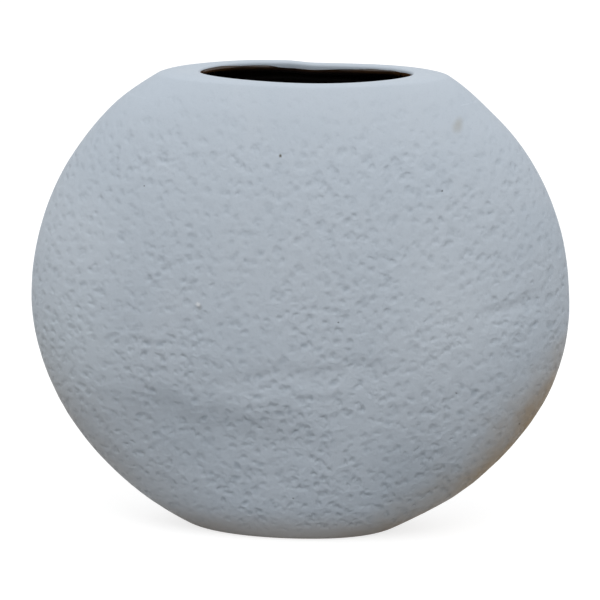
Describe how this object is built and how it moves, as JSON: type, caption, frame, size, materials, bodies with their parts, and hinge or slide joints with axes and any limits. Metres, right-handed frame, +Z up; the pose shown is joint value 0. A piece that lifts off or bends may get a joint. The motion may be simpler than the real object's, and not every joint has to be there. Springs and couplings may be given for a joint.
{
  "type": "pillow vase",
  "caption": "Flattened round ceramic vase with pitted matt faces, a smooth oval mouth, a dark glossy glazed inside and an oval foot.",
  "frame": {"origin": "on the table under the middle of the foot, which is the middle of the bounding box's bottom", "axes": "+Z up; X along the width of the flat faces; +Y out of the front face; the pictured face looks along -Y"},
  "size_m": [0.3, 0.116, 0.261],
  "materials": {
    "matt_clay": "pale blue-grey matt coat, eggshell sheen, pitted",
    "bare_clay": "unglazed stoneware, sanded, pale coat up to the foot's edge",
    "dark_glaze": "glossy near-black brown, redder where thin"
  },
  "bodies": {
    "root": {"rear_shell": "matt_clay", "front_shell": "matt_clay", "mouth_rim": "matt_clay", "foot_slab": "bare_clay", "glaze_lining": "dark_glaze"}
  },
  "joints": []
}
